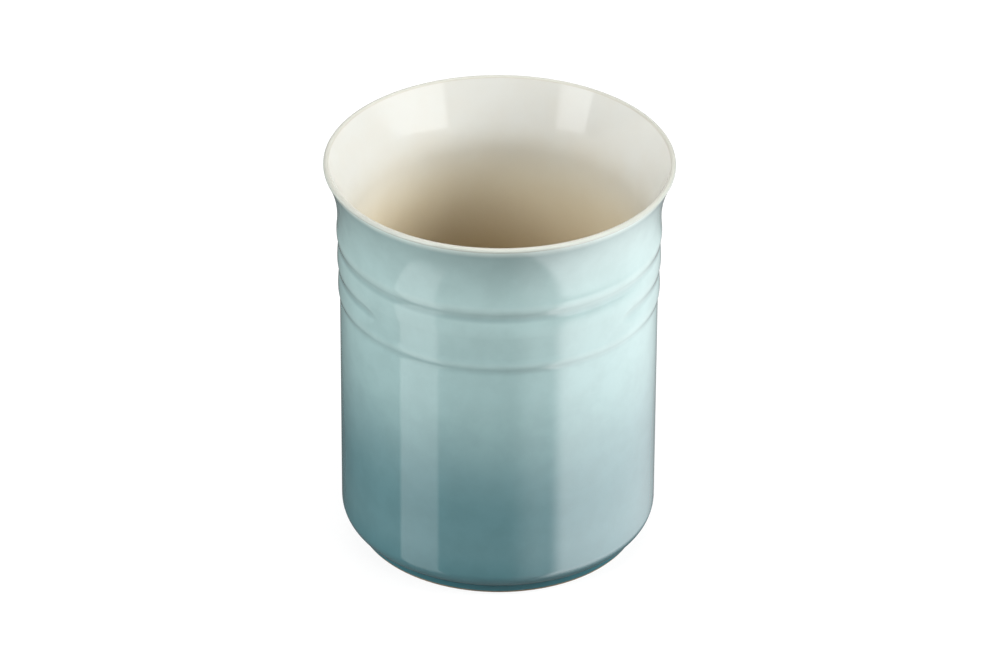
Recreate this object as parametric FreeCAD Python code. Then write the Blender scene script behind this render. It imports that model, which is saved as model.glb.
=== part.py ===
import FreeCAD, Part
import math
import os

# A glazed stoneware utensil crock, in millimetres.
# +Z is up, the origin is the middle of the standing face, and the front of the crock faces -Y.

# Overall sizes over the glaze
HEIGHT = 150.0
WALL_DIAMETER = 114.0
LIP_OVERHANG = 5.5
FOOT_SETBACK = 5.35

# Thicknesses, with the glaze on both faces counted in
WALL_THICKNESS = 4.7
FLOOR_THICKNESS = 6.0
LIP_THICKNESS = 2.0
GLAZE_THICKNESS = 0.4

# Foot and base
FOOT_HEIGHT = 3.3
FOOT_RING_WIDTH = 5.0
FOOT_EDGE_RADIUS = 0.5
FOOT_FILLET_RADIUS = 0.8
FOOT_BARE_HEIGHT = 0.8
RECESS_DEPTH = 3.0
RECESS_CORNER_RADIUS = 1.0
BASE_CORNER_RADIUS = 7.5
FLOOR_CORNER_RADIUS = 8.0

# Three ring mouldings under the flare, each turning in at its lower edge to the hollow under it
RING_COUNT = 3
RING_HEIGHT = 11.3
RING_DEPTH = 0.65
RING_STEP = 0.21
RING_EDGE_RADIUS = 8.0
RING_HOLLOW_RADIUS = 8.0
TOP_RING_RADIUS = 13.4

# Flared rim: outside from the edge of the top ring, and inside
FLARE_HEIGHT = 27.6
FLARE_ARC_RADIUS = 45.2
INNER_FLARE_HEIGHT = 20.0
INNER_BEND_RADIUS = 30.0

# Smooth panel at the front, where the groove between the two lower rings runs out
PANEL_HALF_ANGLE = 56.5
PANEL_FACE_ANGLE = 2.5
PANEL_EDGE_ANGLE = 5.0
PANEL_RING = 1

FRONT_ANGLE = -90.0
RUN_OUT_MARGIN = 2.0
UP = FreeCAD.Vector(0, 0, 1)
CENTRE = FreeCAD.Vector(0, 0, 0)
OUTWARD = FreeCAD.Vector(1, 0, 0)


def spot(radius, height):
    """A point of the section, which is drawn in the XZ plane."""
    return FreeCAD.Vector(radius, 0, height)


def unit(vector):
    return vector * (1.0 / vector.Length)


def bearing(degrees):
    """The direction in the section that lies this far above level, pointing away from the axis."""
    return spot(math.cos(math.radians(degrees)), math.sin(math.radians(degrees)))


def outer_meeting(first, first_reach, second, second_reach):
    """The point at the two given distances from two points, on the side away from the axis."""
    apart = second - first
    along = (first_reach ** 2 - second_reach ** 2 + apart.Length ** 2) / (2 * apart.Length)
    across = math.sqrt(first_reach ** 2 - along ** 2)
    sideways = unit(spot(apart.z, -apart.x))
    return first + unit(apart) * along + sideways * across


class Outline:
    """A run of lines and arcs that meet smoothly, with the direction out of the surface at each joint."""

    def __init__(self, point, normal):
        self.joints = [(point, normal)]
        self.centres = []

    def line(self, point, normal):
        self.joints.append((point, normal))
        self.centres.append(None)

    def arc(self, centre, point, normal):
        self.joints.append((point, normal))
        self.centres.append(centre)

    def points(self, inset):
        return [point - normal * inset for point, normal in self.joints]

    def edges(self, inset):
        points = self.points(inset)
        made = []
        for centre, start, end in zip(self.centres, points, points[1:]):
            if centre is None:
                made.append(Part.LineSegment(start, end).toShape())
            else:
                made.append(arc_edge(centre, start, end))
        return made


def arc_edge(centre, start, end):
    """The arc under a half turn from start to end around a centre."""
    radius = (start - centre).Length
    middle = centre + unit((start - centre) + (end - centre)) * radius
    return Part.Arc(start, middle, end).toShape()


def straight(start, end):
    return Part.LineSegment(start, end).toShape()


def turned(edges, degrees=360.0):
    """The solid that a closed section sweeps around the axis."""
    face = Part.Face(Part.Wire(Part.__sortEdges__(edges)))
    return face.revolve(CENTRE, UP, degrees)


# Values that the outlines share
wall_radius = WALL_DIAMETER / 2
rim_radius = wall_radius + LIP_OVERHANG
foot_radius = wall_radius - FOOT_SETBACK
inside_radius = wall_radius - WALL_THICKNESS
floor_top = RECESS_DEPTH + FLOOR_THICKNESS
lip_radius = LIP_THICKNESS / 2
lip_centre = spot(rim_radius - lip_radius, HEIGHT - lip_radius)

ring_turn = math.degrees(math.acos(1 - RING_DEPTH / (RING_EDGE_RADIUS + RING_HOLLOW_RADIUS)))
ring_under = (RING_EDGE_RADIUS + RING_HOLLOW_RADIUS) * math.sin(math.radians(ring_turn))
face_rise = RING_DEPTH - RING_STEP
face_run = RING_HEIGHT - ring_under
face_lean = 2 * math.degrees(math.atan(face_rise / face_run))
face_radius = face_run / math.sin(math.radians(face_lean)) - RING_HOLLOW_RADIUS
ring_edges = []
for ring in range(RING_COUNT):
    edge_height = HEIGHT - FLARE_HEIGHT - (RING_COUNT - 1 - ring) * RING_HEIGHT
    ring_edges.append(spot(wall_radius + RING_DEPTH + ring * RING_STEP, edge_height))

top_ring_centre = ring_edges[-1] - OUTWARD * TOP_RING_RADIUS
flare_centre = outer_meeting(top_ring_centre, TOP_RING_RADIUS + FLARE_ARC_RADIUS,
                             lip_centre, lip_radius + FLARE_ARC_RADIUS)
lip_outer_normal = unit(flare_centre - lip_centre)

bend_point = spot(inside_radius, HEIGHT - INNER_FLARE_HEIGHT)
bend_to_lip = lip_centre - bend_point
flare_lean = math.atan2(bend_to_lip.x, bend_to_lip.z) - math.asin(lip_radius / bend_to_lip.Length)
lip_inner_normal = spot(-math.cos(flare_lean), math.sin(flare_lean))


def edge_centre(ring):
    return ring_edges[ring] - OUTWARD * RING_EDGE_RADIUS


def hollow_centre(ring):
    """The centre of the hollow under one ring."""
    return edge_centre(ring) + bearing(-ring_turn) * (RING_EDGE_RADIUS + RING_HOLLOW_RADIUS)


def face_centre(ring):
    """The centre of the gently rounded face above the edge of one ring."""
    return ring_edges[ring] - OUTWARD * face_radius


def add_underside(outline, ring):
    """Goes on from the bottom of the hollow under a ring to the ring's edge."""
    turn = bearing(-ring_turn)
    outline.arc(hollow_centre(ring), edge_centre(ring) + turn * RING_EDGE_RADIUS, turn)
    outline.arc(edge_centre(ring), ring_edges[ring], OUTWARD)


def add_groove(outline, ring):
    """Goes on from the edge of the ring below, up its face and through the hollow under this ring."""
    lean = bearing(face_lean)
    outline.arc(face_centre(ring - 1), face_centre(ring - 1) + lean * face_radius, lean)
    add_underside(outline, ring)


def outer_outline():
    """The outside from the lower edge of the glaze on the foot up to the lip."""
    corner_centre = spot(wall_radius - BASE_CORNER_RADIUS, FOOT_HEIGHT + BASE_CORNER_RADIUS)
    fillet_radius = foot_radius + FOOT_FILLET_RADIUS
    fillet_drop = math.sqrt((BASE_CORNER_RADIUS + FOOT_FILLET_RADIUS) ** 2
                            - (fillet_radius - corner_centre.x) ** 2)
    fillet_centre = spot(fillet_radius, corner_centre.z - fillet_drop)
    to_corner = unit(fillet_centre - corner_centre)
    outline = Outline(spot(foot_radius, FOOT_BARE_HEIGHT), OUTWARD)
    outline.line(spot(foot_radius, fillet_centre.z), OUTWARD)
    outline.arc(fillet_centre, corner_centre + to_corner * BASE_CORNER_RADIUS, to_corner)
    outline.arc(corner_centre, spot(wall_radius, corner_centre.z), OUTWARD)

    outline.line(spot(wall_radius, hollow_centre(0).z), OUTWARD)
    add_underside(outline, 0)
    for ring in range(1, RING_COUNT):
        if ring == PANEL_RING:
            leaving = bearing(PANEL_FACE_ANGLE)
            arriving = bearing(-PANEL_EDGE_ANGLE)
            outline.arc(face_centre(ring - 1), face_centre(ring - 1) + leaving * face_radius, leaving)
            outline.line(edge_centre(ring) + arriving * RING_EDGE_RADIUS, arriving)
            outline.arc(edge_centre(ring), ring_edges[ring], OUTWARD)
        else:
            add_groove(outline, ring)

    to_flare = unit(flare_centre - top_ring_centre)
    outline.arc(top_ring_centre, top_ring_centre + to_flare * TOP_RING_RADIUS, to_flare)
    outline.arc(flare_centre, lip_centre + lip_outer_normal * lip_radius, lip_outer_normal)
    return outline


def lip_outline():
    """The rounded lip, from the outside flare over the crown to the inside flare."""
    outline = Outline(lip_centre + lip_outer_normal * lip_radius, lip_outer_normal)
    outline.arc(lip_centre, lip_centre + UP * lip_radius, UP)
    outline.arc(lip_centre, lip_centre + lip_inner_normal * lip_radius, lip_inner_normal)
    return outline


def inner_outline():
    """The inside, from the lip down the flare and the wall to the middle of the floor."""
    bend_length = INNER_BEND_RADIUS * math.tan(flare_lean / 2)
    bend_top = bend_point + spot(math.sin(flare_lean), math.cos(flare_lean)) * bend_length
    bend_bottom = bend_point - UP * bend_length
    bend_centre = bend_bottom + OUTWARD * INNER_BEND_RADIUS
    corner_centre = spot(inside_radius - FLOOR_CORNER_RADIUS, floor_top + FLOOR_CORNER_RADIUS)
    outline = Outline(lip_centre + lip_inner_normal * lip_radius, lip_inner_normal)
    outline.line(bend_top, lip_inner_normal)
    outline.arc(bend_centre, bend_bottom, -OUTWARD)
    outline.line(spot(inside_radius, corner_centre.z), -OUTWARD)
    outline.arc(corner_centre, spot(corner_centre.x, floor_top), UP)
    outline.line(spot(0, floor_top), UP)
    return outline


def recess_outline():
    """The glazed recess underneath, from its middle to the lower edge of its glaze inside the foot ring."""
    recess_radius = foot_radius - FOOT_RING_WIDTH
    corner_centre = spot(recess_radius - RECESS_CORNER_RADIUS, RECESS_DEPTH - RECESS_CORNER_RADIUS)
    outline = Outline(spot(0, RECESS_DEPTH), -UP)
    outline.line(spot(corner_centre.x, RECESS_DEPTH), -UP)
    outline.arc(corner_centre, spot(recess_radius, corner_centre.z), -OUTWARD)
    outline.line(spot(recess_radius, FOOT_BARE_HEIGHT), -OUTWARD)
    return outline


def foot_edges(inner_edge, outer_edge):
    """The bare standing ring of clay, between the lower edges of the glaze inside and outside it."""
    inner_low = spot(inner_edge.x, FOOT_EDGE_RADIUS)
    outer_low = spot(outer_edge.x, FOOT_EDGE_RADIUS)
    inner_centre = inner_low + OUTWARD * FOOT_EDGE_RADIUS
    outer_centre = outer_low - OUTWARD * FOOT_EDGE_RADIUS
    face_start = spot(inner_centre.x, 0)
    face_end = spot(outer_centre.x, 0)
    return [
        straight(inner_edge, inner_low),
        arc_edge(inner_centre, inner_low, face_start),
        straight(face_start, face_end),
        arc_edge(outer_centre, face_end, outer_low),
        straight(outer_low, outer_edge),
    ]


def coat(outline):
    """A coat of glaze that lies on the clay along one outline."""
    face = outline.points(0)
    back = outline.points(GLAZE_THICKNESS)
    ends = [straight(face[0], back[0]), straight(face[-1], back[-1])]
    return turned(outline.edges(0) + outline.edges(GLAZE_THICKNESS) + ends)


def groove_cutter(inset):
    """What the groove with run-out ends takes away: round the back, then straight on at both ends."""
    leaving = bearing(PANEL_FACE_ANGLE)
    arriving = bearing(-PANEL_EDGE_ANGLE)
    lean = bearing(face_lean)
    turn = bearing(-ring_turn)
    lower_centre = face_centre(PANEL_RING - 1)
    upper_centre = edge_centre(PANEL_RING)
    groove = Outline(lower_centre + leaving * face_radius, leaving)
    groove.arc(lower_centre, lower_centre + lean * face_radius, lean)
    groove.arc(hollow_centre(PANEL_RING), upper_centre + turn * RING_EDGE_RADIUS, turn)
    groove.arc(upper_centre, upper_centre + arriving * RING_EDGE_RADIUS, arriving)
    lower_edge = groove.points(inset)[0]
    upper_edge = groove.points(inset)[-1]
    clear_radius = rim_radius + RUN_OUT_MARGIN
    lower_clear = spot(clear_radius, lower_edge.z)
    upper_clear = spot(clear_radius, upper_edge.z)
    edges = groove.edges(inset) + [
        straight(upper_edge, upper_clear),
        straight(upper_clear, lower_clear),
        straight(lower_clear, lower_edge),
    ]
    section = Part.Face(Part.Wire(Part.__sortEdges__(edges)))
    root_radius = hollow_centre(PANEL_RING).x - RING_HOLLOW_RADIUS - inset
    run_out = math.sqrt(upper_edge.x ** 2 - root_radius ** 2) + RUN_OUT_MARGIN
    start = FRONT_ANGLE + PANEL_HALF_ANGLE
    around = 360.0 - 2 * PANEL_HALF_ANGLE
    pieces = []
    for angle, sense in ((start, -1), (start + around, 1)):
        end_section = section.rotated(CENTRE, UP, angle)
        heading = FreeCAD.Vector(-math.sin(math.radians(angle)), math.cos(math.radians(angle)), 0)
        pieces.append(end_section.extrude(heading * (sense * run_out)))
    main = section.rotated(CENTRE, UP, start).revolve(CENTRE, UP, around)
    return main.fuse(pieces)


outside = outer_outline()
lip = lip_outline()
inside = inner_outline()
recess = recess_outline()

foot = foot_edges(recess.points(GLAZE_THICKNESS)[-1], outside.points(GLAZE_THICKNESS)[0])
axis_edge = straight(inside.points(GLAZE_THICKNESS)[-1], recess.points(GLAZE_THICKNESS)[0])
clay_section = foot + [axis_edge]
for outline in (recess, outside, lip, inside):
    clay_section = clay_section + outline.edges(GLAZE_THICKNESS)

clay = turned(clay_section)
clay_groove = groove_cutter(GLAZE_THICKNESS)
glaze_groove = groove_cutter(0)

parts = {
    "stoneware_body": clay.cut(clay_groove),
    "outer_glaze": coat(outside).fuse(clay.common(clay_groove)).cut(glaze_groove),
    "rim_glaze": coat(lip),
    "inner_glaze": coat(inside),
    "base_glaze": coat(recess),
}

os.makedirs("parts", exist_ok=True)
for name, shape in parts.items():
    shape.exportStep("parts/" + name + ".step")
    box = shape.optimalBoundingBox()
    print(name, "solids", len(shape.Solids), "valid", shape.isValid(), "mm3", round(shape.Volume, 1),
          "z", round(box.ZMin, 3), round(box.ZMax, 3), "across", round(box.XLength, 3), round(box.YLength, 3))
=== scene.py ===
import math

import bpy
import numpy as np
from mathutils import Matrix, Vector


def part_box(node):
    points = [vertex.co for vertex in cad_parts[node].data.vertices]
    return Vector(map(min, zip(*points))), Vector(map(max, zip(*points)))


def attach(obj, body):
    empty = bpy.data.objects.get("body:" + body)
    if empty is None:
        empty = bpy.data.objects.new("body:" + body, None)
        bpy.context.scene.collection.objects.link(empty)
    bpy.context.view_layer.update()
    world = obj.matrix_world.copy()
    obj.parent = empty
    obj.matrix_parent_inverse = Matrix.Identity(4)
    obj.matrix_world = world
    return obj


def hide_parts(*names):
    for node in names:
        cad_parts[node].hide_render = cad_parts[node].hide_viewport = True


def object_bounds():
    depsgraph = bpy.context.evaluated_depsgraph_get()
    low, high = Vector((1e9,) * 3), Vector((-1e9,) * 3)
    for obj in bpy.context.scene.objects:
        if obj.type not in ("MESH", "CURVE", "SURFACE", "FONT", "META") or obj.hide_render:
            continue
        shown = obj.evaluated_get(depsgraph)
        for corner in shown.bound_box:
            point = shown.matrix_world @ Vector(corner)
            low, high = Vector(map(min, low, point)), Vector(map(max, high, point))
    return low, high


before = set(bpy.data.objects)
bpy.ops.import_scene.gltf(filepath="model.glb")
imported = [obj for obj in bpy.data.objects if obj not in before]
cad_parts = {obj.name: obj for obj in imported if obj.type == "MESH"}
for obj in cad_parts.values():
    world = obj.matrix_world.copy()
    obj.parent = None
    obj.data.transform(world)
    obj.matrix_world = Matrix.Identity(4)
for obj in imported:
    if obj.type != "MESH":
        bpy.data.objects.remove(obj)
cad_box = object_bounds()

# A glazed stoneware utensil crock. Lengths are in millimetres, and become metres where a mesh is made.
# +Z is up, the origin is the middle of the standing face, and the front of the crock faces -Y.
MM = 0.001
BODY = "root"

# Overall sizes over the glaze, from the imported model
GLAZE_THICKNESS = 0.4
HEIGHT = cad_box[1].z / MM
RIM_RADIUS = cad_box[1].x / MM
FLOOR_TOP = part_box("inner_glaze")[0].z / MM + GLAZE_THICKNESS

# Sizes of the section
WALL_RADIUS = 57.0
INSIDE_RADIUS = 52.3
LIP_RADIUS = 1.0
FLOOR_CORNER_RADIUS = 8.0
INNER_FLARE_HEIGHT = 20.0
INNER_BEND_RADIUS = 30.0
FLARE_HEIGHT = 27.6
FLARE_ARC_RADIUS = 45.2

# Foot and base
FOOT_RADIUS = 51.65
FOOT_HEIGHT = 3.3
FOOT_FILLET_RADIUS = 0.8
FOOT_BARE_HEIGHT = 0.8
BASE_CORNER_RADIUS = 7.5
RECESS_RADIUS = 46.65
RECESS_DEPTH = 3.0
RECESS_CORNER_RADIUS = 1.0

# Ring mouldings, counted from the lowest, each turning in at its lower edge to the hollow under it
RING_COUNT = 3
RING_HEIGHT = 11.3
RING_DEPTH = 0.65
RING_STEP = 0.21
RING_EDGE_RADIUS = 8.0
RING_HOLLOW_RADIUS = 8.0
TOP_RING_RADIUS = 13.4

# Smooth panel at the front, where the groove between the two lower rings runs out
PANEL_HALF_ANGLE = 56.5
PANEL_FACE_ANGLE = 2.5
PANEL_EDGE_ANGLE = 5.0
PANEL_RING = 1
PANEL_BLEND = 0.04
PANEL_LEAST_COSINE = 0.5

# Fineness of the meshes
SEGMENTS = 256
WALL_STEP = 2.5
CURVE_STEP = 0.45
LIP_STEP = 0.09
BACK_STRIDE = 4
AXIS_REACH = 1e-6

# Pooling: how far round a point its level is taken, and the depth under that level that counts as 1
POOL_REACH = 2.6
POOL_DEPTH = 0.35


def bearing(degrees):
    """The direction in the section that lies this far above level, pointing away from the axis."""
    return Vector((math.cos(math.radians(degrees)), math.sin(math.radians(degrees))))


def outer_meeting(first, first_reach, second, second_reach):
    """The point at the two given distances from two points, on the side away from the axis."""
    apart = second - first
    along = (first_reach ** 2 - second_reach ** 2 + apart.length ** 2) / (2 * apart.length)
    across = math.sqrt(first_reach ** 2 - along ** 2)
    sideways = Vector((apart.y, -apart.x)).normalized()
    return first + apart.normalized() * along + sideways * across


class Outline:
    """A run of lines and arcs through the section, kept as points of (radius, height)."""

    def __init__(self, start):
        self.points = [start]

    def line(self, end, step):
        start = self.points[-1]
        count = math.ceil((end - start).length / step)
        for i in range(1, count + 1):
            self.points.append(start.lerp(end, i / count))

    def arc(self, centre, end, step):
        """The shorter way round a centre to the end point."""
        spoke = self.points[-1] - centre
        turn = -spoke.angle_signed(end - centre)
        count = math.ceil(abs(turn) * spoke.length / step)
        for i in range(1, count + 1):
            self.points.append(centre + Matrix.Rotation(turn * i / count, 2) @ spoke)

    def array(self):
        return np.array([tuple(point) for point in self.points])


# Values that the outlines share
OUTWARD = Vector((1, 0))
UP = Vector((0, 1))
lip_centre = Vector((RIM_RADIUS - LIP_RADIUS, HEIGHT - LIP_RADIUS))
ring_turn = math.degrees(math.acos(1 - RING_DEPTH / (RING_EDGE_RADIUS + RING_HOLLOW_RADIUS)))
face_run = RING_HEIGHT - (RING_EDGE_RADIUS + RING_HOLLOW_RADIUS) * math.sin(math.radians(ring_turn))
face_lean = 2 * math.degrees(math.atan((RING_DEPTH - RING_STEP) / face_run))
face_radius = face_run / math.sin(math.radians(face_lean)) - RING_HOLLOW_RADIUS
ring_edges = []
for ring in range(RING_COUNT):
    edge_height = HEIGHT - FLARE_HEIGHT - (RING_COUNT - 1 - ring) * RING_HEIGHT
    ring_edges.append(Vector((WALL_RADIUS + RING_DEPTH + ring * RING_STEP, edge_height)))
top_ring_centre = ring_edges[-1] - OUTWARD * TOP_RING_RADIUS
flare_centre = outer_meeting(top_ring_centre, TOP_RING_RADIUS + FLARE_ARC_RADIUS,
                             lip_centre, LIP_RADIUS + FLARE_ARC_RADIUS)
lip_outer_normal = (flare_centre - lip_centre).normalized()
bend_point = Vector((INSIDE_RADIUS, HEIGHT - INNER_FLARE_HEIGHT))
bend_to_lip = lip_centre - bend_point
flare_lean = math.atan2(bend_to_lip.x, bend_to_lip.y) - math.asin(LIP_RADIUS / bend_to_lip.length)
lip_inner_normal = Vector((-math.cos(flare_lean), math.sin(flare_lean)))


def edge_centre(ring):
    """The centre of the rounded lower edge of one ring."""
    return ring_edges[ring] - OUTWARD * RING_EDGE_RADIUS


def hollow_centre(ring):
    """The centre of the hollow under one ring."""
    return edge_centre(ring) + bearing(-ring_turn) * (RING_EDGE_RADIUS + RING_HOLLOW_RADIUS)


def face_centre(ring):
    """The centre of the gently rounded face above the edge of one ring."""
    return ring_edges[ring] - OUTWARD * face_radius


def outer_outline():
    """The outside, from the rounded lower edge of the glaze on the foot up to the lip."""
    corner_centre = Vector((WALL_RADIUS - BASE_CORNER_RADIUS, FOOT_HEIGHT + BASE_CORNER_RADIUS))
    fillet_radius = FOOT_RADIUS + FOOT_FILLET_RADIUS
    fillet_drop = math.sqrt((BASE_CORNER_RADIUS + FOOT_FILLET_RADIUS) ** 2
                            - (fillet_radius - corner_centre.x) ** 2)
    fillet_centre = Vector((fillet_radius, corner_centre.y - fillet_drop))
    to_corner = (fillet_centre - corner_centre).normalized()
    bead_centre = Vector((FOOT_RADIUS - GLAZE_THICKNESS, FOOT_BARE_HEIGHT + GLAZE_THICKNESS))
    outline = Outline(bead_centre - UP * GLAZE_THICKNESS)
    outline.arc(bead_centre, bead_centre + OUTWARD * GLAZE_THICKNESS, LIP_STEP)
    outline.line(Vector((FOOT_RADIUS, fillet_centre.y)), LIP_STEP)
    outline.arc(fillet_centre, corner_centre + to_corner * BASE_CORNER_RADIUS, LIP_STEP)
    outline.arc(corner_centre, corner_centre + OUTWARD * BASE_CORNER_RADIUS, CURVE_STEP)

    outline.line(Vector((WALL_RADIUS, hollow_centre(0).y)), WALL_STEP)
    for ring in range(RING_COUNT):
        if ring > 0:
            below = face_centre(ring - 1)
            outline.arc(below, below + bearing(face_lean) * face_radius, CURVE_STEP)
        hollow_end = edge_centre(ring) + bearing(-ring_turn) * RING_EDGE_RADIUS
        outline.arc(hollow_centre(ring), hollow_end, CURVE_STEP)
        outline.arc(edge_centre(ring), ring_edges[ring], CURVE_STEP)
    to_flare = (flare_centre - top_ring_centre).normalized()
    outline.arc(top_ring_centre, top_ring_centre + to_flare * TOP_RING_RADIUS, CURVE_STEP)
    outline.arc(flare_centre, lip_centre + lip_outer_normal * LIP_RADIUS, CURVE_STEP)
    return outline.array()


def lip_outline():
    """The rounded lip, from the outside flare over the crown to the inside flare."""
    outline = Outline(lip_centre + lip_outer_normal * LIP_RADIUS)
    outline.arc(lip_centre, lip_centre + UP * LIP_RADIUS, LIP_STEP)
    outline.arc(lip_centre, lip_centre + lip_inner_normal * LIP_RADIUS, LIP_STEP)
    return outline.array()


def inner_outline():
    """The inside, from the lip down the flare and the wall to the middle of the floor."""
    bend_length = INNER_BEND_RADIUS * math.tan(flare_lean / 2)
    bend_top = bend_point + Vector((math.sin(flare_lean), math.cos(flare_lean))) * bend_length
    bend_bottom = bend_point - UP * bend_length
    corner_centre = Vector((INSIDE_RADIUS - FLOOR_CORNER_RADIUS, FLOOR_TOP + FLOOR_CORNER_RADIUS))
    outline = Outline(lip_centre + lip_inner_normal * LIP_RADIUS)
    outline.line(bend_top, CURVE_STEP)
    outline.arc(bend_bottom + OUTWARD * INNER_BEND_RADIUS, bend_bottom, CURVE_STEP)
    outline.line(Vector((INSIDE_RADIUS, corner_centre.y)), WALL_STEP)
    outline.arc(corner_centre, corner_centre - UP * FLOOR_CORNER_RADIUS, CURVE_STEP)
    outline.line(Vector((0, FLOOR_TOP)), WALL_STEP)
    return outline.array()


def recess_outline():
    """The glazed recess underneath, from its middle to the rounded lower edge of its glaze."""
    corner_centre = Vector((RECESS_RADIUS - RECESS_CORNER_RADIUS, RECESS_DEPTH - RECESS_CORNER_RADIUS))
    bead_centre = Vector((RECESS_RADIUS + GLAZE_THICKNESS, FOOT_BARE_HEIGHT + GLAZE_THICKNESS))
    outline = Outline(Vector((0, RECESS_DEPTH)))
    outline.line(Vector((corner_centre.x, RECESS_DEPTH)), WALL_STEP)
    turn_end = Vector((RECESS_RADIUS, max(corner_centre.y, bead_centre.y)))
    outline.arc(corner_centre, turn_end, LIP_STEP)
    outline.arc(bead_centre, bead_centre - UP * GLAZE_THICKNESS, LIP_STEP)
    return outline.array()


def around(outline):
    """An outline turned about the axis: one row of points for each step round, starting at +X."""
    angles = np.linspace(0, 2 * math.pi, SEGMENTS, endpoint=False)[:, None]
    radius = np.tile(outline[:, 0], (SEGMENTS, 1))
    height = np.tile(outline[:, 1], (SEGMENTS, 1))
    return np.stack([radius * np.cos(angles), radius * np.sin(angles), height], axis=2)


def front_panel(outline):
    """The turned outside, with its middle groove running out straight beside the front panel."""
    lower = face_centre(PANEL_RING - 1) + bearing(PANEL_FACE_ANGLE) * face_radius
    upper = edge_centre(PANEL_RING) + bearing(-PANEL_EDGE_ANGLE) * RING_EDGE_RADIUS
    radius, height = outline[:, 0], outline[:, 1]
    inside_groove = (height > lower.y) & (height < upper.y) & (radius > INSIDE_RADIUS)
    band = np.interp(height, [lower.y, upper.y], [lower.x, upper.x])
    grid = around(outline)
    for row in range(SEGMENTS):
        from_front = abs(360.0 * row / SEGMENTS - 270.0)
        from_front = min(from_front, 360.0 - from_front)
        past_end = math.radians(max(0.0, PANEL_HALF_ANGLE - from_front))
        groove = radius / max(math.cos(past_end), PANEL_LEAST_COSINE)
        gap = np.clip(0.5 + 0.5 * (groove - band) / PANEL_BLEND, 0, 1)
        filled = groove * (1 - gap) + band * gap - PANEL_BLEND * gap * (1 - gap)
        scale = np.where(inside_groove, np.maximum(filled, radius) / radius, 1.0)
        grid[row, :, :2] *= scale[:, None]
    return grid


def grid_normals(grid, start_normal, end_normal):
    """Unit normals of a turned surface, with the section's own direction at both of its ends."""
    round_way = np.roll(grid, -1, axis=0) - np.roll(grid, 1, axis=0)
    along = np.gradient(grid, axis=1)
    normals = np.cross(round_way, along)
    angles = np.linspace(0, 2 * math.pi, SEGMENTS, endpoint=False)
    for column, section in ((0, start_normal), (-1, end_normal)):
        normals[:, column, 0] = section.x * np.cos(angles)
        normals[:, column, 1] = section.x * np.sin(angles)
        normals[:, column, 2] = section.y
    return normals / np.linalg.norm(normals, axis=2, keepdims=True)


def pooling(grid, normals):
    """How far each point lies under its surroundings: above 0 in hollows, below 0 on crests."""
    steps = np.linalg.norm(np.diff(grid[0], axis=0), axis=1)
    place = np.concatenate([[0.0], np.cumsum(steps)])
    share = np.gradient(place)
    weights = np.exp(-0.5 * ((place[:, None] - place[None, :]) / POOL_REACH) ** 2) * share[None, :]
    weights /= weights.sum(axis=1, keepdims=True)
    level = np.einsum("ck,rkx->rcx", weights, grid)
    return np.sum((level - grid) * normals, axis=2) / POOL_DEPTH


def closed_mesh(name, loop, normals):
    """A closed smooth mesh from a grid whose columns run once round the section of a coat."""
    rows, columns = loop.shape[:2]
    on_axis = np.hypot(loop[0, :, 0], loop[0, :, 1]) < AXIS_REACH
    index = np.zeros((rows, columns), dtype=int)
    points, directions = [], []
    for column in range(columns):
        kept = 1 if on_axis[column] else rows
        index[:, column] = len(points) + np.arange(rows) % kept
        points.extend(loop[:kept, column] * MM)
        directions.extend(normals[:kept, column])
    faces = []
    for column in range(columns):
        after = (column + 1) % columns
        if on_axis[column] and on_axis[after]:
            continue
        for row in range(rows):
            beside = (row + 1) % rows
            corners = index[[row, beside, beside, row], [column, column, after, after]]
            faces.append([int(corner) for corner in dict.fromkeys(corners)])
    mesh = bpy.data.meshes.new(name)
    mesh.from_pydata([tuple(point) for point in points], [], faces)
    mesh.polygons.foreach_set("use_smooth", [True] * len(faces))
    mesh.normals_split_custom_set_from_vertices([tuple(direction) for direction in directions])
    return mesh, index


def coat(name, node, grid, start_normal, end_normal, material, back_columns):
    """One coat of glaze as a closed shell that stands for its CAD node."""
    normals = grid_normals(grid, start_normal, end_normal)
    back = grid[:, back_columns] - normals[:, back_columns] * GLAZE_THICKNESS
    loop = np.concatenate([grid, back[:, ::-1]], axis=1)
    loop_normals = np.concatenate([normals, -normals[:, back_columns][:, ::-1]], axis=1)
    mesh, index = closed_mesh(name, loop, loop_normals)
    depth = pooling(grid, normals)
    depth = np.concatenate([depth, depth[:, back_columns][:, ::-1]], axis=1)
    values = np.zeros(len(mesh.vertices))
    values[index.ravel()] = depth.ravel()
    mesh.attributes.new("pool", "FLOAT", "POINT").data.foreach_set("value", values)
    mesh.materials.append(material)
    piece = bpy.data.objects.new(name, mesh)
    bpy.context.scene.collection.objects.link(piece)
    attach(piece, BODY)
    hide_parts(node)
    return piece


def thinned(first, last):
    """Every few columns from the first to the last, both of them kept."""
    return sorted(set(range(first, last, BACK_STRIDE)) | {last})


# Most of a noise lies between these two values
NOISE_LOW, NOISE_HIGH = 0.3, 0.7


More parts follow.
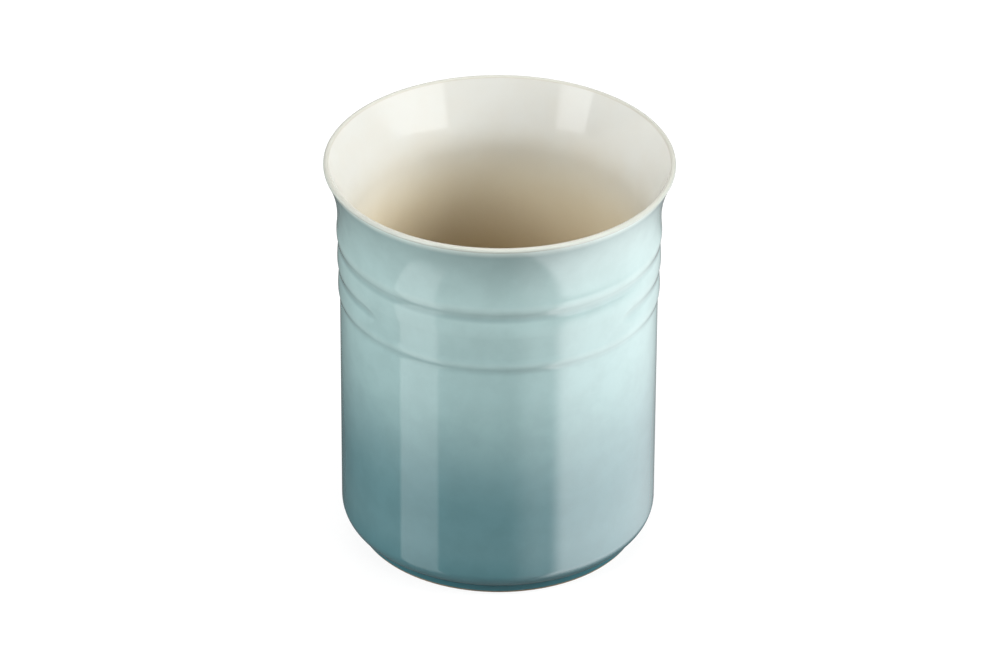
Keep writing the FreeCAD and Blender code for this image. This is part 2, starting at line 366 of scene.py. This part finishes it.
class Nodes:
    """Short ways to add and join nodes in one node tree."""

    def __init__(self, tree):
        self.tree = tree

    def add(self, kind, **settings):
        node = self.tree.nodes.new(kind)
        for name, value in settings.items():
            setattr(node, name, value)
        return node

    def set(self, socket, value):
        """Joins a socket to another node's output, or gives it a plain value."""
        if isinstance(value, bpy.types.NodeSocket):
            self.tree.links.new(value, socket)
        else:
            socket.default_value = value

    def math(self, operation, *values, clamp=False):
        node = self.add("ShaderNodeMath", operation=operation, use_clamp=clamp)
        for socket, value in zip(node.inputs, values):
            self.set(socket, value)
        return node.outputs[0]

    def ramp(self, value, low, high, to_low=0.0, to_high=1.0):
        """A smooth step from one value to another."""
        node = self.add("ShaderNodeMapRange", interpolation_type="SMOOTHSTEP")
        for socket, setting in zip(node.inputs, (value, low, high, to_low, to_high)):
            self.set(socket, setting)
        return node.outputs[0]

    def mix(self, share, first, second, blend="MIX"):
        """A mix of two colours."""
        node = self.add("ShaderNodeMix", data_type="RGBA", blend_type=blend)
        self.set(node.inputs[0], share)
        self.set(node.inputs[6], first)
        self.set(node.inputs[7], second)
        return node.outputs[2]

    def noise(self, place, size, detail=3.0, roughness=0.55):
        """Noise whose patches are about this many millimetres across."""
        node = self.add("ShaderNodeTexNoise")
        self.set(node.inputs["Vector"], place)
        node.inputs["Scale"].default_value = 1.0 / (size * MM)
        node.inputs["Detail"].default_value = detail
        node.inputs["Roughness"].default_value = roughness
        return node.outputs[0]

    def patches(self, place, size, low, high, detail=3.0):
        """Soft patches about this many millimetres across, which vary between two values."""
        return self.ramp(self.noise(place, size, detail), NOISE_LOW, NOISE_HIGH, low, high)

    def bump(self, height, depth, strength, below=None):
        """A bump of this depth in millimetres, on top of another one."""
        node = self.add("ShaderNodeBump")
        node.inputs["Strength"].default_value = strength
        node.inputs["Distance"].default_value = depth * MM
        self.set(node.inputs["Height"], height)
        if below is not None:
            self.set(node.inputs["Normal"], below)
        return node.outputs[0]


def colour(red, green, blue):
    """A colour given in display values from 0 to 255."""
    linear = []
    for value in (red / 255, green / 255, blue / 255):
        linear.append(value / 12.92 if value <= 0.04045 else ((value + 0.055) / 1.055) ** 2.4)
    return (*linear, 1.0)


# Glaze outside: on the shoulder, the wall and the foot, in hollows, on crests and at the lip, where its
# paleness is partly painted highlight
GLAZE_SHOULDER = colour(157, 182, 181)
GLAZE_LIGHT = colour(150, 178, 178)
GLAZE_DEEP = colour(90, 125, 130)
GLAZE_POOLED = colour(22, 84, 94)
GLAZE_THIN = colour(186, 203, 200)
GLAZE_EDGE_AND_HIGHLIGHT = colour(220, 236, 231)
# Heights over which it goes from deep to light, to the shoulder's colour and, downwards, to the foot's
# darker tone, which is partly painted shade
FADE_LOW, FADE_HIGH = 33.0, 96.0
SHOULDER_LOW, SHOULDER_HIGH = 86.0, 125.0
FOOT_TONE_HIGH, FOOT_TONE_LOW, FOOT_TONE_SHARE = 22.0, 6.0, 0.3
# Depths below the top over which the lip's pale colour, partly painted highlight, comes in
EDGE_TONE_START, EDGE_TONE_FULL = 4.5, 1.2
# Pooling over which the colours of hollows and crests come in, and their shares
POOLED_START, POOLED_FULL, POOLED_SHARE = 0.22, 1.35, 0.5
THIN_START, THIN_FULL, THIN_SHARE = -0.1, -0.6, 0.15
# Unevenness: how far the fade drifts up and down, and faint clouds
DRIFT_SIZE, DRIFT_REACH = 45.0, 5.0
CLOUD_SIZE, CLOUD_SHARE = 9.0, 0.035

# Glaze on the lip, with places across it from the middle of the lip, above 0 outwards
RIM_MINT = colour(185, 190, 182)
RIM_CREAM = colour(184, 184, 175)
RIM_WARM = colour(186, 180, 170)
RIM_CREAM_START, RIM_CREAM_FULL = 0.95, 0.4
RIM_WARM_START, RIM_WARM_FULL, RIM_WARM_SHARE = -0.55, -0.8, 0.5
WANDER_SIZE, WANDER_REACH = 5.0, 0.15

# Glaze inside. A tone has the depths below the top where it starts and is full, a share and a colour;
# the warmer, deeper tones half way down are partly painted shade.
CREAM = colour(194, 195, 190)
CREAM_WARM = colour(219, 211, 188)
DEEP_CREAM_AND_SHADE = colour(178, 150, 104)
INSIDE_TONES_AND_SHADE = (
    (12.0, 50.0, 1.0, CREAM_WARM),
    (28.0, 96.0, 1.0, DEEP_CREAM_AND_SHADE),
    (82.0, 125.0, 0.75, CREAM_WARM),
)
INSIDE_CLOUD_SIZE, INSIDE_CLOUD_SHARE = 14.0, 0.06

# Glaze in the recess underneath
BASE_TEAL = colour(104, 140, 144)
MOTTLE_SIZE, MOTTLE_SHARE = 12.0, 0.25
BASE_POOLED_START, BASE_POOLED_FULL, BASE_POOLED_SHARE = 0.05, 1.2, 0.6

# Bare clay
CLAY = colour(116, 104, 90)
CLAY_PALE = colour(178, 150, 104)
CLAY_SPECK = colour(74, 62, 52)
CLAY_PATCH_SIZE, CLAY_PATCH_SHARE = 7.0, 0.35
SPECK_SIZE, SPECK_START, SPECK_FULL, SPECK_SHARE = 0.5, 0.66, 0.74, 0.8
CLAY_GLOSS_SIZE, CLAY_SMOOTH, CLAY_ROUGH = 1.2, 0.72, 0.92
GRAIN_SIZE, GRAIN_DEPTH, GRAIN_STRENGTH = 0.35, 0.08, 0.7

# Gloss of the glazes: their roughness, how it varies, and the size, depth and strength of their ripples
OUTER_ROUGHNESS, RIM_ROUGHNESS, INNER_ROUGHNESS, BASE_ROUGHNESS = 0.07, 0.09, 0.08, 0.12
GLOSS_SIZE, GLOSS_LEAST, GLOSS_MOST = 6.0, 0.75, 1.3
GLAZE_IOR = 1.5
WAVE_SIZE, WAVE_DEPTH, WAVE_STRENGTH = 24.0, 0.12, 0.35
PEEL_SIZE, PEEL_DEPTH, PEEL_STRENGTH = 1.6, 0.004, 0.6


def new_material(name):
    """A material with its node helper, its shader and the point in the object's own frame."""
    material = bpy.data.materials.new(name)
    material.use_nodes = True
    nodes = Nodes(material.node_tree)
    shader = material.node_tree.nodes["Principled BSDF"]
    place = nodes.add("ShaderNodeTexCoord").outputs["Object"]
    return material, nodes, shader, place


def object_height(nodes, place):
    """The height of the shaded point above the table, in millimetres."""
    split = nodes.add("ShaderNodeSeparateXYZ")
    nodes.set(split.inputs[0], place)
    return nodes.math("DIVIDE", split.outputs["Z"], MM)


def pool_depth(nodes):
    """How deep the glaze has pooled at the shaded point, as the mesh holds it."""
    return nodes.add("ShaderNodeAttribute", attribute_name="pool").outputs["Fac"]


def glossy_glaze(nodes, shader, place, roughness):
    """What every glaze shares: gloss that varies a little, a fine orange peel and a slow waviness."""
    uneven = nodes.patches(place, GLOSS_SIZE, roughness * GLOSS_LEAST, roughness * GLOSS_MOST)
    nodes.set(shader.inputs["Roughness"], uneven)
    shader.inputs["IOR"].default_value = GLAZE_IOR
    waves = nodes.bump(nodes.noise(place, WAVE_SIZE, detail=1.0), WAVE_DEPTH, WAVE_STRENGTH)
    peel = nodes.bump(nodes.noise(place, PEEL_SIZE, detail=2.0), PEEL_DEPTH, PEEL_STRENGTH, waves)
    nodes.set(shader.inputs["Normal"], peel)


def outer_glaze():
    """Coloured glaze, pale on the shoulder, deep at the foot, pooled in hollows and thin on crests.
    Darker at the base corner, partly as painted shade, and pale under the lip, partly as a painted
    highlight.
    """
    material, nodes, shader, place = new_material("outer_glaze")
    height = object_height(nodes, place)
    drift = nodes.noise(place, DRIFT_SIZE, detail=2.0)
    drift = nodes.math("MULTIPLY_ADD", drift, 2 * DRIFT_REACH, -DRIFT_REACH)
    fade = nodes.ramp(nodes.math("ADD", height, drift), FADE_LOW, FADE_HIGH)
    tint = nodes.mix(fade, GLAZE_DEEP, GLAZE_LIGHT)
    tint = nodes.mix(nodes.ramp(height, SHOULDER_LOW, SHOULDER_HIGH), tint, GLAZE_SHOULDER)

    depth = pool_depth(nodes)
    pooled = nodes.ramp(depth, POOLED_START, POOLED_FULL, 0.0, POOLED_SHARE)
    tint = nodes.mix(pooled, tint, GLAZE_POOLED)
    thin = nodes.ramp(depth, THIN_START, THIN_FULL, 0.0, THIN_SHARE)
    thin = nodes.math("MULTIPLY", thin, nodes.ramp(height, FADE_LOW, FADE_HIGH))
    tint = nodes.mix(thin, tint, GLAZE_THIN)

    # Painted shade, in part: the glaze darkens towards the base corner, which faces down
    foot = nodes.ramp(height, FOOT_TONE_HIGH, FOOT_TONE_LOW, 0.0, FOOT_TONE_SHARE)
    tint = nodes.mix(foot, tint, GLAZE_POOLED)
    # Pale band under the lip: partly the glaze's own pale edge, partly a painted highlight
    edge = nodes.ramp(height, HEIGHT - EDGE_TONE_START, HEIGHT - EDGE_TONE_FULL)
    tint = nodes.mix(edge, tint, GLAZE_EDGE_AND_HIGHLIGHT)
    cloud = nodes.patches(place, CLOUD_SIZE, 1 - CLOUD_SHARE, 1 + CLOUD_SHARE, detail=4.0)
    shade = nodes.add("ShaderNodeCombineColor")
    for socket in shade.inputs:
        nodes.set(socket, cloud)
    nodes.set(shader.inputs["Base Color"], nodes.mix(1.0, tint, shade.outputs[0], "MULTIPLY"))
    glossy_glaze(nodes, shader, place, OUTER_ROUGHNESS)
    return material


def rim_glaze():
    """Pale glaze over the lip: mint next to the outside, cream on the crown, a faint warm inner edge."""
    material, nodes, shader, place = new_material("rim_glaze")
    split = nodes.add("ShaderNodeSeparateXYZ")
    nodes.set(split.inputs[0], place)
    squares = [nodes.math("POWER", split.outputs[axis], 2.0) for axis in "XY"]
    from_axis = nodes.math("DIVIDE", nodes.math("SQRT", nodes.math("ADD", *squares)), MM)
    wander = nodes.math("MULTIPLY_ADD", nodes.noise(place, WANDER_SIZE), 2 * WANDER_REACH, -WANDER_REACH)
    across = nodes.math("ADD", from_axis, wander)
    middle = lip_centre.x
    crown = nodes.ramp(across, middle + RIM_CREAM_START, middle + RIM_CREAM_FULL)
    tint = nodes.mix(crown, RIM_MINT, RIM_CREAM)
    inner_edge = nodes.ramp(across, middle + RIM_WARM_START, middle + RIM_WARM_FULL, 0.0, RIM_WARM_SHARE)
    nodes.set(shader.inputs["Base Color"], nodes.mix(inner_edge, tint, RIM_WARM))
    glossy_glaze(nodes, shader, place, RIM_ROUGHNESS)
    return material


def inner_glaze():
    """Cream glaze, warmer and deeper in tone half way down the wall, partly as painted shade, and paler
    again on the floor.
    """
    material, nodes, shader, place = new_material("inner_glaze")
    height = object_height(nodes, place)
    tint = CREAM
    # Painted shade: the warmer, deeper tones half way down the wall partly stand for the shade inside
    # the crock
    for start, full, share, tone in INSIDE_TONES_AND_SHADE:
        tint = nodes.mix(nodes.ramp(height, HEIGHT - start, HEIGHT - full, 0.0, share), tint, tone)
    cloud = nodes.patches(place, INSIDE_CLOUD_SIZE, 0.0, INSIDE_CLOUD_SHARE, detail=4.0)
    nodes.set(shader.inputs["Base Color"], nodes.mix(cloud, tint, DEEP_CREAM_AND_SHADE))
    glossy_glaze(nodes, shader, place, INNER_ROUGHNESS)
    return material


def base_glaze():
    """Glaze in the recess underneath, deeper where it has run into the corner."""
    material, nodes, shader, place = new_material("base_glaze")
    mottle = nodes.patches(place, MOTTLE_SIZE, 0.0, MOTTLE_SHARE, detail=4.0)
    tint = nodes.mix(mottle, BASE_TEAL, GLAZE_DEEP)
    pooled = nodes.ramp(pool_depth(nodes), BASE_POOLED_START, BASE_POOLED_FULL, 0.0, BASE_POOLED_SHARE)
    nodes.set(shader.inputs["Base Color"], nodes.mix(pooled, tint, GLAZE_POOLED))
    glossy_glaze(nodes, shader, place, BASE_ROUGHNESS)
    return material


def stoneware():
    """Bare fired clay: matt, grainy and lightly speckled with iron."""
    material, nodes, shader, place = new_material("stoneware")
    patches = nodes.patches(place, CLAY_PATCH_SIZE, 0.0, CLAY_PATCH_SHARE, detail=5.0)
    tint = nodes.mix(patches, CLAY, CLAY_PALE)
    specks = nodes.noise(place, SPECK_SIZE, detail=1.0)
    specks = nodes.ramp(specks, SPECK_START, SPECK_FULL, 0.0, SPECK_SHARE)
    nodes.set(shader.inputs["Base Color"], nodes.mix(specks, tint, CLAY_SPECK))
    nodes.set(shader.inputs["Roughness"], nodes.patches(place, CLAY_GLOSS_SIZE, CLAY_SMOOTH, CLAY_ROUGH))
    grain = nodes.noise(place, GRAIN_SIZE, detail=6.0)
    nodes.set(shader.inputs["Normal"], nodes.bump(grain, GRAIN_DEPTH, GRAIN_STRENGTH))
    return material


def build_crock():
    """The four coats of glaze on the clay body."""
    clay_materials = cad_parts["stoneware_body"].data.materials
    clay_materials.clear()
    clay_materials.append(stoneware())
    outside, lip, inside, recess = outer_outline(), lip_outline(), inner_outline(), recess_outline()
    # The back of a coat leaves out the steps of the rounded bead at its lower edge
    bead = math.ceil(math.pi / 2 * GLAZE_THICKNESS / LIP_STEP)
    coat("outer_coat", "outer_glaze", front_panel(outside), -UP, lip_outer_normal, outer_glaze(),
         thinned(bead, len(outside) - 1))
    coat("rim_coat", "rim_glaze", around(lip), lip_outer_normal, lip_inner_normal, rim_glaze(),
         thinned(0, len(lip) - 1))
    coat("inner_coat", "inner_glaze", around(inside), lip_inner_normal, UP, inner_glaze(),
         thinned(0, len(inside) - 1))
    coat("base_coat", "base_glaze", around(recess), -UP, -UP, base_glaze(),
         thinned(0, len(recess) - 1 - bead))


# Camera, fitted to the photograph's outline
CAMERA_ELEVATION = 31.58
CAMERA_DISTANCE = 2229.0
CAMERA_PIVOT = Vector((0.0, 0.0, 75.0))
CAMERA_AIM = Vector((0.46, 0.0, 78.13))
CAMERA_LENS = 222.65
CAMERA_SENSOR = 36.0
CAMERA_ROLL = 0.30


def build_camera():
    """The camera at the photograph's viewing angle."""
    lift = math.radians(CAMERA_ELEVATION)
    place = CAMERA_PIVOT + CAMERA_DISTANCE * Vector((0.0, -math.cos(lift), math.sin(lift)))
    data = bpy.data.cameras.new("camera")
    data.sensor_fit = "HORIZONTAL"
    data.sensor_width = CAMERA_SENSOR
    data.lens = CAMERA_LENS
    camera = bpy.data.objects.new("camera", data)
    turn = (CAMERA_AIM - place).to_track_quat("-Z", "Y").to_matrix().to_4x4()
    roll = Matrix.Rotation(math.radians(CAMERA_ROLL), 4, "Z")
    camera.matrix_world = Matrix.Translation(place * MM) @ turn @ roll
    bpy.context.scene.collection.objects.link(camera)
    bpy.context.scene.camera = camera


# Studio. Bearings are degrees from the camera's side towards +X, elevations degrees above the horizon.
# A lamp has a bearing, an elevation, a width in degrees and a strength. The gloss doesn't show it.
LAMPS = (
    (50.0, 29.0, 30.0, 0.8),
    (85.0, 29.0, 30.0, 3.55),
    (-55.0, 42.0, 35.0, 2.05),
    (-5.0, 6.0, 40.0, 1.1),
    (-80.0, 10.0, 40.0, 1.7),
    (180.0, 14.0, 50.0, 2.0),
    (0.0, 88.0, 40.0, 0.55),
)
# A softbox shows in the gloss alone. It has the bearings, then the elevations, where it starts, is full,
# begins to fall and ends, and a strength.
SOFTBOXES = (
    ((37.0, 51.0, 60.0, 185.0), (-95.0, -40.0, -27.0, -14.0), 6.2),
    ((5.0, 30.0, 38.0, 50.0), (-95.0, -40.0, -27.0, -14.0), 1.4),
    ((36.5, 38.5, 60.0, 115.0), (-12.0, -2.0, 12.0, 40.0), 3.0),
    ((-77.0, -75.0, -46.0, -43.0), (-60.0, -40.0, -12.0, -2.0), 1.7),
    ((-64.0, -62.0, -42.0, -39.0), (-12.0, -2.0, 10.0, 45.0), 3.4),
    ((-126.0, -121.0, -113.0, -108.0), (3.0, 8.0, 22.0, 27.0), 1.0),
)
# The room's brightness in matt light and in the gloss, and the background's for the camera
ROOM_MATT = 0.05
ROOM_GLOSS = 0.11
BACKGROUND_PALE = 1.0

# Floor: its reach in metres, its grey, its white glow for the camera, and how far out the gloss shows it
FLOOR_RADIUS = 40.0
FLOOR_SIDES = 64
FLOOR_GREY = 0.2
FLOOR_GLOW = 0.82
FLOOR_MIRRORED, FLOOR_FADED = 56.0, 66.0


def window(nodes, value, start, full, falling, end):
    """One in the middle of a range, with a smooth rise before it and a smooth fall after it."""
    return nodes.math("MULTIPLY", nodes.ramp(value, start, full), nodes.ramp(value, end, falling))


def background(nodes, strength):
    """Even light from all round, of this strength."""
    node = nodes.add("ShaderNodeBackground")
    nodes.set(node.inputs["Strength"], strength)
    return node.outputs[0]


def mix_shader(nodes, share, first, second):
    """A mix of two shaders."""
    node = nodes.add("ShaderNodeMixShader")
    for socket, value in zip(node.inputs, (share, first, second)):
        nodes.set(socket, value)
    return node.outputs[0]


def build_lamps():
    """Broad soft lamps for the matt light."""
    for angle, elevation, width, strength in LAMPS:
        data = bpy.data.lights.new("lamp", "SUN")
        data.energy = strength
        data.angle = math.radians(width)
        lamp = bpy.data.objects.new("lamp", data)
        turn, lift = math.radians(angle), math.radians(elevation)
        level = math.cos(lift)
        towards = Vector((math.sin(turn) * level, -math.cos(turn) * level, math.sin(lift)))
        lamp.rotation_euler = towards.to_track_quat("Z", "Y").to_euler()
        lamp.visible_glossy = False
        bpy.context.scene.collection.objects.link(lamp)


def build_world():
    """A dim room for the surfaces, softboxes in it for the gloss and a plain pale background."""
    world = bpy.data.worlds.new("studio")
    world.use_nodes = True
    world.cycles.sampling_method = "NONE"
    world.node_tree.nodes.clear()
    nodes = Nodes(world.node_tree)
    split = nodes.add("ShaderNodeSeparateXYZ")
    nodes.set(split.inputs[0], nodes.add("ShaderNodeTexCoord").outputs["Generated"])
    towards_camera = nodes.math("MULTIPLY", split.outputs["Y"], -1.0)
    around_axis = nodes.math("DEGREES", nodes.math("ARCTAN2", split.outputs["X"], towards_camera))
    elevation = nodes.math("DEGREES", nodes.math("ARCSINE", split.outputs["Z"]))

    gloss = ROOM_GLOSS
    for bearings, elevations, strength in SOFTBOXES:
        width = window(nodes, around_axis, *bearings)
        shape = nodes.math("MULTIPLY", width, window(nodes, elevation, *elevations))
        gloss = nodes.math("MULTIPLY_ADD", shape, strength, gloss)

    path = nodes.add("ShaderNodeLightPath").outputs
    open_view = nodes.math("ADD", path["Is Camera Ray"], path["Is Transmission Ray"], clamp=True)
    room = background(nodes, ROOM_MATT)
    seen = mix_shader(nodes, path["Is Glossy Ray"], room, background(nodes, gloss))
    seen = mix_shader(nodes, open_view, seen, background(nodes, BACKGROUND_PALE))
    nodes.set(nodes.add("ShaderNodeOutputWorld").inputs["Surface"], seen)
    bpy.context.scene.world = world


def floor_material():
    """Matt grey that glows white for the camera. Away from the crock the gloss looks through it."""
    material = bpy.data.materials.new("pale_floor")
    material.use_nodes = True
    material.node_tree.nodes.clear()
    nodes = Nodes(material.node_tree)
    path = nodes.add("ShaderNodeLightPath").outputs
    matt = nodes.add("ShaderNodeBsdfDiffuse")
    matt.inputs["Color"].default_value = (FLOOR_GREY, FLOOR_GREY, FLOOR_GREY, 1.0)
    glow = nodes.add("ShaderNodeEmission")
    nodes.set(glow.inputs["Strength"], nodes.math("MULTIPLY", path["Is Camera Ray"], FLOOR_GLOW))
    both = nodes.add("ShaderNodeAddShader")
    nodes.set(both.inputs[0], matt.outputs[0])
    nodes.set(both.inputs[1], glow.outputs[0])
    from_axis = nodes.add("ShaderNodeVectorMath", operation="LENGTH")
    nodes.set(from_axis.inputs[0], nodes.add("ShaderNodeTexCoord").outputs["Object"])
    away = nodes.ramp(from_axis.outputs["Value"], FLOOR_MIRRORED * MM, FLOOR_FADED * MM)
    clear = nodes.math("MULTIPLY", away, path["Is Glossy Ray"])
    through = nodes.add("ShaderNodeBsdfTransparent").outputs[0]
    output = nodes.add("ShaderNodeOutputMaterial")
    nodes.set(output.inputs["Surface"], mix_shader(nodes, clear, both.outputs[0], through))
    return material


def build_floor():
    """A pale floor that stays white to the camera and keeps the crock's soft shadow."""
    mesh = bpy.data.meshes.new("floor")
    corners = []
    for step in range(FLOOR_SIDES):
        angle = 2 * math.pi * step / FLOOR_SIDES
        corners.append((FLOOR_RADIUS * math.cos(angle), FLOOR_RADIUS * math.sin(angle), 0.0))
    mesh.from_pydata(corners, [], [list(range(FLOOR_SIDES))])
    mesh.materials.append(floor_material())
    floor = bpy.data.objects.new("floor", mesh)
    bpy.context.scene.collection.objects.link(floor)


def main():
    """Builds the scene."""
    bpy.context.scene.view_settings.view_transform = "Standard"
    build_crock()
    build_camera()
    build_lamps()
    build_world()
    build_floor()


main()
